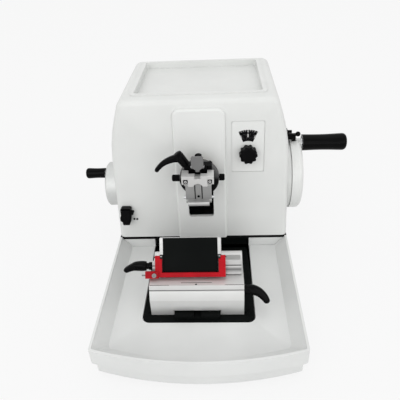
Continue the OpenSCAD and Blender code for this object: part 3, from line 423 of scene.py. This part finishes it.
def curve_point(points, t):
    """Catmull-Rom curve through tuples of numbers."""
    last = len(points) - 1
    i = min(int(t), last - 1)
    f = t - i
    p0, p1, p2, p3 = (points[max(0, min(last, k))] for k in (i - 1, i, i + 1, i + 2))
    return [0.5 * (2 * b + (c - a) * f
                   + (2 * a - 5 * b + 4 * c - d) * f * f
                   + (3 * b - a - 3 * c + d) * f ** 3)
            for a, b, c, d in zip(p0, p1, p2, p3)]


def arm(mesh, place, side, spine, steps=7, n=32):
    """Swept arm of a rounded square section: spine of (x, y, z, half height, half width)."""
    verts, faces = mesh
    path = [curve_point(spine, k / steps) for k in range((len(spine) - 1) * steps + 1)]
    rows = []
    for k, (x, y, z, high, wide) in enumerate(path):
        a = Vector(path[max(0, k - 1)][:3])
        b = Vector(path[min(len(path) - 1, k + 1)][:3])
        up = (b - a).normalized().cross(side).normalized()
        rows.append([len(verts) + i for i in range(n)])
        for i in range(n):
            turn = 2 * math.pi * i / n
            c, s = math.cos(turn), math.sin(turn)
            square = (abs(c) ** SQUARENESS + abs(s) ** SQUARENESS) ** (-1 / SQUARENESS)
            offset = up * (c * square * high) + side * (s * square * wide)
            verts.append(place @ ((Vector((x, y, z)) + offset) * MM))
    close_rows(faces, rows)


def clamp_lever(name, node, body, place, side, profile, spine):
    """Clamping lever of black plastic: fluted hub and an arm that thins towards its tip."""
    mesh = new_mesh()
    hub(mesh, place, profile)
    arm(mesh, place, Vector(side).normalized(), spine)
    o = piece(name, mesh, "black_gloss", body, smooth=True)
    melt(o, voxel=0.4, rounds=4)
    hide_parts(node)


HEAD_PIVOT = (-14.5, -32, 147)
HEAD_TURN = math.radians(-33.7)  # the head lever's axis leans to the left
HEAD_SIDE = (0, 1, 0)
HEAD_HUB = [(4.3, 6.2, 0), (10, 6.5, 0), (19.4, 6.9, 0), (20, 6.9, 1.6), (24.4, 6.6, 1.6), (25, 5.4, 0),
            (25.6, 3.2, 0)]
HEAD_ARM = [(2, 0, 16, 6.6, 5.6), (-3, 0, 18.6, 5.8, 5.4), (-8.5, 0, 20.8, 4.9, 5),
            (-15.5, 0, 22.6, 4.3, 4.6), (-25, 0, 23.4, 3.7, 4.2), (-34, 0, 21.8, 3.2, 3.8),
            (-39.4, 0, 20, 2.9, 3.2), (-41.2, 0, 19.3, 1.4, 1.6)]

BASE_PIVOT = (60.3, -135, 13)
AXIS_RIGHT = Matrix(((0, 0, 1), (1, 0, 0), (0, 1, 0))).to_4x4()     # local z right, x rear, y up
BASE_SIDE = (0.868, -0.497, 0)
BASE_HUB = [(-20, 3, 0), (-0.3, 3, 0), (0, 6.2, 0), (1, 6.6, 0), (3, 6.6, 0.7), (8, 6.6, 0.7),
            (9.4, 5.6, 0)]
BASE_ARM = [(0, 0, 6, 5.8, 5.8), (-0.4, -0.6, 12, 6.8, 6), (-2, -3.6, 20, 6.2, 5.4),
            (-5, -9, 26.6, 5.4, 5), (-8.4, -14.6, 30.8, 4.2, 4.2), (-9.6, -16.6, 32, 1.8, 2)]

PLATE_PIVOT = (-64.8, -110, 34)
AXIS_LEFT = Matrix(((0, 0, -1), (-1, 0, 0), (0, 1, 0))).to_4x4()    # local z left, x front, y up
PLATE_SIDE = (0.986, 0.164, 0)
PLATE_HUB = [(0, 5.6, 0), (5, 5.6, 0), (5.4, 4.4, 0), (8.4, 4.4, 0), (9, 6.2, 0.8), (13, 6.4, 0.8),
             (14, 5.6, 0)]
PLATE_ARM = [(0, 0, 9, 6, 5.6), (0, 0.2, 14, 6.6, 6), (0, 0, 23, 6.2, 5.6), (0.3, -1.6, 29, 5, 4.8),
             (0.9, -4.6, 35.6, 4.2, 4.2), (1.3, -7.2, 39, 3.4, 3.4), (1.5, -8.6, 40.2, 1.4, 1.6)]


def levers():
    """The three clamping levers, in the place of their plainer CAD nodes."""
    head = at(*HEAD_PIVOT) @ Matrix.Rotation(HEAD_TURN, 4, "Y")
    clamp_lever("head_lever", "orientation_lever", "tilt_lever", head, HEAD_SIDE, HEAD_HUB, HEAD_ARM)
    out = at(*BASE_PIVOT) @ AXIS_RIGHT
    clamp_lever("clamp_lever", "base_lever", "holder_arm", out, BASE_SIDE, BASE_HUB, BASE_ARM)
    left = at(*PLATE_PIVOT) @ AXIS_LEFT
    clamp_lever("plate_lever", "blade_lever", "blade_arm", left, PLATE_SIDE, PLATE_HUB, PLATE_ARM)


# ---------- marks ----------
# A mark's own y is the plane from which it stands out by its thickness.
SCREW_X = 16.6                   # the jaw's two screws are this far left and right of the middle
SCREW_Z = 136.5
SCREW_Y = -56.6
SCREW_R = 1.9
SOCKET_Y = -56.66
SOCKET_R = 0.9
SOCKET_SIDES = 6
SLOT_Y = -54.65
SLOT_FLOOR = [(-3.3, -4.6), (-2, -7), (2, -7), (3.3, -4.6), (3.3, 3.4), (-3.3, 3.4)]


def jaw_marks():
    """Painted shade on the floors of the jaw's two slots, the faces of its two screws, and painted shade in
    their sockets.
    """
    slot_shade_mesh, heads, socket_shade_mesh = new_mesh(), new_mesh(), new_mesh()
    for x in (-SCREW_X, SCREW_X):
        # painted shade: a darker sheet on each slot's floor
        prism(slot_shade_mesh, at(x, SLOT_Y, SCREW_Z), SLOT_FLOOR, thick=0.1)
        prism(heads, at(x, SCREW_Y, SCREW_Z), dot(0, 0, SCREW_R), thick=0.05)
        # painted shade: a dark hexagon in each screw's socket
        prism(socket_shade_mesh, at(x, SOCKET_Y, SCREW_Z), dot(0, 0, SOCKET_R, SOCKET_SIDES), thick=0.05)
    piece("painted_slot_shade", slot_shade_mesh, "clamp_metal", "jaw")
    piece("screw_faces", heads, "jaw_metal", "tilt_block")
    piece("painted_socket_shade", socket_shade_mesh, "black_satin", "tilt_block")


HOLE_Y = -50.2
HOLE = (0, 109, 1.9)             # x, z and radius
SHADOW_Y = -47.3
SHADOW_X = 4.9                   # a shadow's middle, left and right of the clamp's centre rib
SHADOW_HALF = 0.7                # half width of a shadow
SHADOW_Z = (103.2, 127.3)


def clamp_marks():
    """Painted shade of the threaded hole in the clamp's centre rib, and a painted shadow along each of its
    edges.
    """
    mesh = new_mesh()
    # painted shade: a dark disc where the threaded hole is
    prism(mesh, at(0, HOLE_Y, 0), dot(*HOLE), thick=0.1)
    for x in (-SHADOW_X, SHADOW_X):
        prism(mesh, at(0, SHADOW_Y, 0), box(x - SHADOW_HALF, x + SHADOW_HALF, *SHADOW_Z), thick=0.1)
    piece("painted_rib_shadows", mesh, "black_satin", "tilt_block")


BASE_TOP = 28                    # top of the holder's base
JOINTS = ((-24.3, 16.9, -137.4), (-66.4, -40, -141.8), (34.6, 59.4, -141.8))    # from x, to x, y
JOINT_HALF = 0.35                # half width of a joint line
BASE_HOLE = (-3.9, -140.6, 1.3)  # x, y and radius


def base_marks():
    """Fine joint lines, and painted shade of the small hole, in the top strip of the holder's base."""
    mesh = new_mesh()
    top = at(0, 0, BASE_TOP) @ Matrix.Rotation(math.radians(-90), 4, "X")       # local z rear, y down
    for x0, x1, y in JOINTS:
        prism(mesh, top, box(x0, x1, y - JOINT_HALF, y + JOINT_HALF), thick=0.06)
    # painted shade: a dark disc where the small hole is
    prism(mesh, top, dot(*BASE_HOLE), thick=0.06)
    piece("base_marks", mesh, "mark_black", "holder")


KNOB = (72, 142.8)               # section knob's axis on the front face: x, and height up the face
DIAL_FACE = 4.2                  # depth of the dial below the face
TICKS = 60                       # ticks round the dial's edge
LONG_EVERY = 5
SHORT_TICK = box(-0.45, 0.45, 31.5, 34)
LONG_TICK = box(-0.8, 0.8, 30, 34)
BARS = 15                        # bars inside the ticks, in the place of numbers
BAR = [(-0.8, 22.5), (0.8, 22.5), (1.1, 27.5), (-1.1, 27.5)]


def dial_marks():
    """Scale of the section dial: ticks at its edge, and plain bars."""
    mesh = new_mesh()
    place = on_face() @ Matrix.Translation(Vector((KNOB[0] * MM, DIAL_FACE * MM, KNOB[1] * MM)))
    for i in range(TICKS):
        turn = place @ Matrix.Rotation(math.radians(360 / TICKS * i), 4, "Y")
        prism(mesh, turn, SHORT_TICK if i % LONG_EVERY else LONG_TICK, thick=0.12)
    for i in range(BARS):
        turn = place @ Matrix.Rotation(math.radians(360 / BARS * i), 4, "Y")
        prism(mesh, turn, BAR, thick=0.12)
    piece("dial_marks", mesh, "mark_white", "dial")


TRIM_DOTS = ((-108.4, 33.8), (-103.8, 33.6))     # x, and height up the front face
TRIM_DOT_R = 1.7


def trim_dots():
    """Two index dots beside the trimming lever."""
    mesh = new_mesh()
    for x, u in TRIM_DOTS:
        prism(mesh, on_face(), dot(x, u, TRIM_DOT_R), thick=0.6)
    piece("trim_dots", mesh, "mark_black", "stand")


# ---------- stage ----------
FLOOR_REACH = 9                  # half the floor's side
FLOOR_DROP = 0.0002              # the floor lies this far below the feet
FLOOR_GLOW = 0.85                # share of plain white in the floor, where it is looked at
ROOM_LIGHT = 0.86                # strength of the world as a light; where it is looked at, it is 1
AIM = (0, 0, 0.1)                # what the lamps point at
LAMPS = {                        # place, sides, and power in watts
    "key": ((-1.0, -1.7, 1.3), (1.4, 1.4), 9),
    "fill": ((1.2, -1.6, 0.9), (1.2, 1.2), 6),
    "front": ((0, -2.2, 0.5), (1.8, 0.8), 4),
    "top": ((0, 0.3, 2.2), (1.6, 1.6), 4),
}
CAMERA_AT = (33.6, -578.7, 450.9)
CAMERA_RIGHT = Vector((0.99857, 0.03237, -0.04258))
CAMERA_UP = Vector((0.01774, 0.55058, 0.83460))
LENS = 40.5                      # focal length on a sensor 36 mm wide


def looked_at(t):
    """1 for the rays that show the background: camera, glossy and transmission rays."""
    path = t.nodes.new("ShaderNodeLightPath")
    shown = path.outputs["Is Camera Ray"]
    for kind in ("Is Glossy Ray", "Is Transmission Ray"):
        either = t.nodes.new("ShaderNodeMath")
        either.operation = "MAXIMUM"
        t.links.new(shown, either.inputs[0])
        t.links.new(path.outputs[kind], either.inputs[1])
        shown = either.outputs[0]
    return shown


def floor():
    """Pale floor that keeps the object's shadow."""
    corners = ((-1, -1), (1, -1), (1, 1), (-1, 1))
    verts = [Vector((x * FLOOR_REACH, y * FLOOR_REACH, -FLOOR_DROP)) for x, y in corners]
    me = bpy.data.meshes.new("floor")
    me.from_pydata(verts, [], [(0, 1, 2, 3)])
    o = bpy.data.objects.new("floor", me)
    bpy.context.scene.collection.objects.link(o)
    m, t, b = shader("floor_white")
    b.inputs["Base Color"].default_value = (0.6, 0.6, 0.6, 1)
    b.inputs["Roughness"].default_value = 0.9
    b.inputs["Specular IOR Level"].default_value = 0.1
    glow = t.nodes.new("ShaderNodeEmission")
    glow.inputs["Strength"].default_value = 1.0
    share = t.nodes.new("ShaderNodeMath")
    share.operation = "MULTIPLY"
    share.inputs[1].default_value = FLOOR_GLOW
    mix = t.nodes.new("ShaderNodeMixShader")
    t.links.new(looked_at(t), share.inputs[0])
    t.links.new(share.outputs[0], mix.inputs["Fac"])
    t.links.new(b.outputs["BSDF"], mix.inputs[1])
    t.links.new(glow.outputs["Emission"], mix.inputs[2])
    t.links.new(mix.outputs["Shader"], t.nodes["Material Output"].inputs["Surface"])
    me.materials.append(m)


def world():
    """White room: an even light for the object, and white where it is looked at."""
    w = bpy.data.worlds.new("studio")
    bpy.context.scene.world = w
    w.use_nodes = True
    t = w.node_tree
    light = t.nodes["Background"]
    light.inputs["Color"].default_value = (1, 1, 1, 1)
    light.inputs["Strength"].default_value = ROOM_LIGHT
    seen = t.nodes.new("ShaderNodeBackground")
    seen.inputs["Color"].default_value = (1, 1, 1, 1)
    seen.inputs["Strength"].default_value = 1.0
    mix = t.nodes.new("ShaderNodeMixShader")
    t.links.new(looked_at(t), mix.inputs["Fac"])
    t.links.new(light.outputs[0], mix.inputs[1])
    t.links.new(seen.outputs[0], mix.inputs[2])
    t.links.new(mix.outputs[0], t.nodes["World Output"].inputs["Surface"])


def softbox(name, place, sides, power):
    """Rectangular lamp that points at the middle of the object."""
    lamp = bpy.data.lights.new(name, "AREA")
    lamp.shape = "RECTANGLE"
    lamp.size, lamp.size_y = sides
    lamp.energy = power
    o = bpy.data.objects.new(name, lamp)
    bpy.context.scene.collection.objects.link(o)
    o.location = place
    o.rotation_euler = (Vector(AIM) - Vector(place)).to_track_quat("-Z", "Y").to_euler()


def camera():
    """Camera at the photograph's place and angle, as fitted to it."""
    cam = bpy.data.cameras.new("camera")
    cam.sensor_width = 36
    cam.lens = LENS
    cam.clip_start = 0.01
    o = bpy.data.objects.new("camera", cam)
    bpy.context.scene.collection.objects.link(o)
    back = CAMERA_RIGHT.cross(CAMERA_UP)
    turn = Matrix((CAMERA_RIGHT, CAMERA_UP, back)).transposed().to_4x4()
    o.matrix_world = at(*CAMERA_AT) @ turn
    bpy.context.scene.camera = o


# ---------- the scene ----------
for material, radii in DRESS.items():
    for node, radius in radii.items():
        dress(node, material, radius)
soften_knob()
levers()
jaw_marks()
clamp_marks()
base_marks()
dial_marks()
trim_dots()

floor()
world()
for name, (place, sides, power) in LAMPS.items():
    softbox(name, place, sides, power)
camera()
bpy.context.scene.view_settings.view_transform = "Standard"
